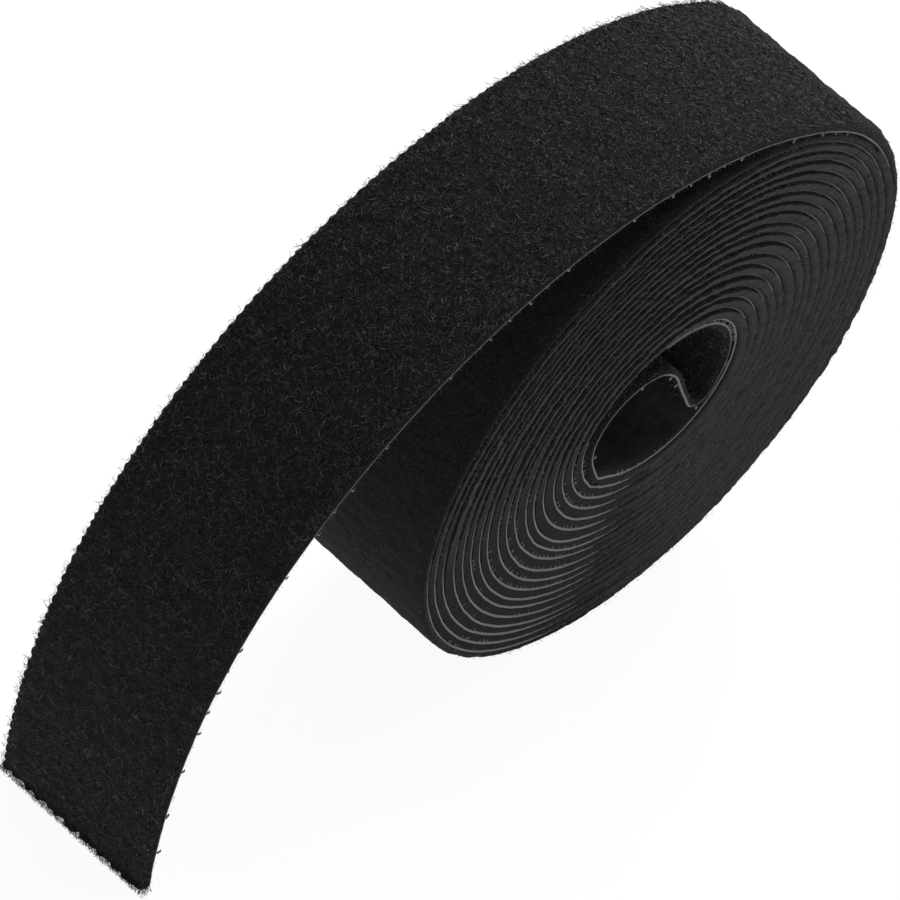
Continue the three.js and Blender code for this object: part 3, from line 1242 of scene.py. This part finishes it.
class TAPE_OT_stage(bpy.types.Operator):
    """Set the floor, the soft lights and the camera"""

    bl_idname = "tape.stage"
    bl_label = "Stage"

    def execute(self, context):
        make_floor(context.scene)
        make_lights(context.scene)
        make_camera(context.scene)
        return {"FINISHED"}


FLOOR_SIZE = 6
FLOOR_WHITENESS = 0.93


def shown_white(tree):
    """1 on rays that see the background itself, by eye, in gloss or through glass."""
    path = node(tree, "ShaderNodeLightPath")
    seen = path.outputs["Is Camera Ray"]
    for name in ("Is Glossy Ray", "Is Transmission Ray"):
        seen = maths(tree, "MAXIMUM", seen, path.outputs[name])
    return seen


def make_floor(scene):
    bpy.ops.object.select_all(action="DESELECT")
    bpy.ops.mesh.primitive_plane_add(size=FLOOR_SIZE)
    floor = bpy.context.object
    floor.name = "floor"
    material, tree, shader = new_material("pale_floor")
    shader.inputs["Base Color"].default_value = (*scene.tape_finish.floor, 1)
    shader.inputs["Roughness"].default_value = 0.9
    glow = node(tree, "ShaderNodeEmission", {"Color": (1, 1, 1, 1), "Strength": 1.0})
    share = maths(tree, "MULTIPLY", shown_white(tree), FLOOR_WHITENESS)
    mix = node(
        tree, "ShaderNodeMixShader", {0: share, 1: shader.outputs[0], 2: glow.outputs[0]}
    )
    tree.links.new(mix.outputs[0], tree.nodes["Material Output"].inputs["Surface"])
    floor.data.materials.append(material)


AMBIENT = 0.35
LIGHTS = (
    ("key", (0.75, 0.2, 0.85), 0.8, 18),
    ("fill", (-0.5, -0.95, 0.35), 0.8, 6.5),
    ("rim", (0.2, 1.0, 0.6), 0.8, 3),
)
LIGHT_AIM = Vector((-0.015, 0, 0.035))


def make_lights(scene):
    world = bpy.data.worlds.new("studio")
    scene.world = world
    world.use_nodes = True
    tree = world.node_tree
    background = tree.nodes["Background"]
    background.inputs["Color"].default_value = (1, 1, 1, 1)
    strength = ranged(tree, shown_white(tree), end=(AMBIENT, 1.0))
    tree.links.new(strength, background.inputs["Strength"])
    for name, place, size, power in LIGHTS:
        bpy.ops.object.light_add(type="AREA", location=place)
        light = bpy.context.object
        light.name = name
        light.data.size = size
        light.data.energy = power
        light.rotation_euler = (LIGHT_AIM - Vector(place)).to_track_quat("-Z", "Y").to_euler()


# The view of the photograph, given for a roll that is turned back by the standing turn
VIEW_AZIMUTH = math.radians(-44.52)
VIEW_ELEVATION = math.radians(59.82)
STANDING_TURN = math.radians(18.5)
VIEW_DISTANCE = 1050.79 * MM
VIEW_OFFSET = (-20.534 * MM, -5.235 * MM)
VIEW_LENS = 429.54


def make_camera(scene):
    line = TapeLine(scene)
    ahead = Vector(
        (
            -math.sin(VIEW_AZIMUTH) * math.cos(VIEW_ELEVATION),
            math.cos(VIEW_AZIMUTH) * math.cos(VIEW_ELEVATION),
            -math.sin(VIEW_ELEVATION),
        )
    )
    right = Vector((math.cos(VIEW_AZIMUTH), math.sin(VIEW_AZIMUTH), 0))
    up = right.cross(ahead)
    place = VIEW_OFFSET[0] * right + VIEW_OFFSET[1] * up - VIEW_DISTANCE * ahead
    stood = Matrix.Rotation(-STANDING_TURN, 3, "Y")
    turn = Matrix((stood @ right, stood @ up, stood @ -ahead)).transposed()
    near_face = Vector((0, -line.tape.width / 2, line.axis_height))
    data = bpy.data.cameras.new("photo_view")
    data.lens = VIEW_LENS
    camera = bpy.data.objects.new("photo_view", data)
    scene.collection.objects.link(camera)
    camera.matrix_world = Matrix.Translation(near_face + stood @ place) @ turn.to_4x4()
    scene.camera = camera
    scene.view_settings.view_transform = "Standard"


class TAPE_PT_roll(bpy.types.Panel):
    """Sizes, colours and steps of the tape roll"""

    bl_idname = "TAPE_PT_roll"
    bl_label = "Tape Roll"
    bl_space_type = "VIEW_3D"
    bl_region_type = "UI"
    bl_category = "Tape Roll"

    def draw(self, context):
        for group in GROUPS:
            box = self.layout.box()
            for name in GROUPS[group].__annotations__:
                box.prop(getattr(context.scene, group), name)
        for step in STEPS:
            self.layout.operator(step.bl_idname)


GROUPS = {
    "tape_sizes": TapeSizes,
    "tape_winding": WindingSizes,
    "tape_ends": EndSizes,
    "tape_finish": TapeFinish,
}
STEPS = (TAPE_OT_fabric, TAPE_OT_film, TAPE_OT_hooks, TAPE_OT_pile, TAPE_OT_stage)


def register():
    for each in (*GROUPS.values(), *STEPS, TAPE_PT_roll):
        bpy.utils.register_class(each)
    for name, group in GROUPS.items():
        setattr(bpy.types.Scene, name, bpy.props.PointerProperty(type=group))


def unregister():
    for name in GROUPS:
        delattr(bpy.types.Scene, name)
    for each in reversed((*GROUPS.values(), *STEPS, TAPE_PT_roll)):
        bpy.utils.unregister_class(each)


def main():
    register()
    bpy.ops.tape.fabric()
    bpy.ops.tape.film()
    bpy.ops.tape.hooks()
    bpy.ops.tape.pile()
    bpy.ops.tape.stage()


if __name__ == "__main__":
    main()
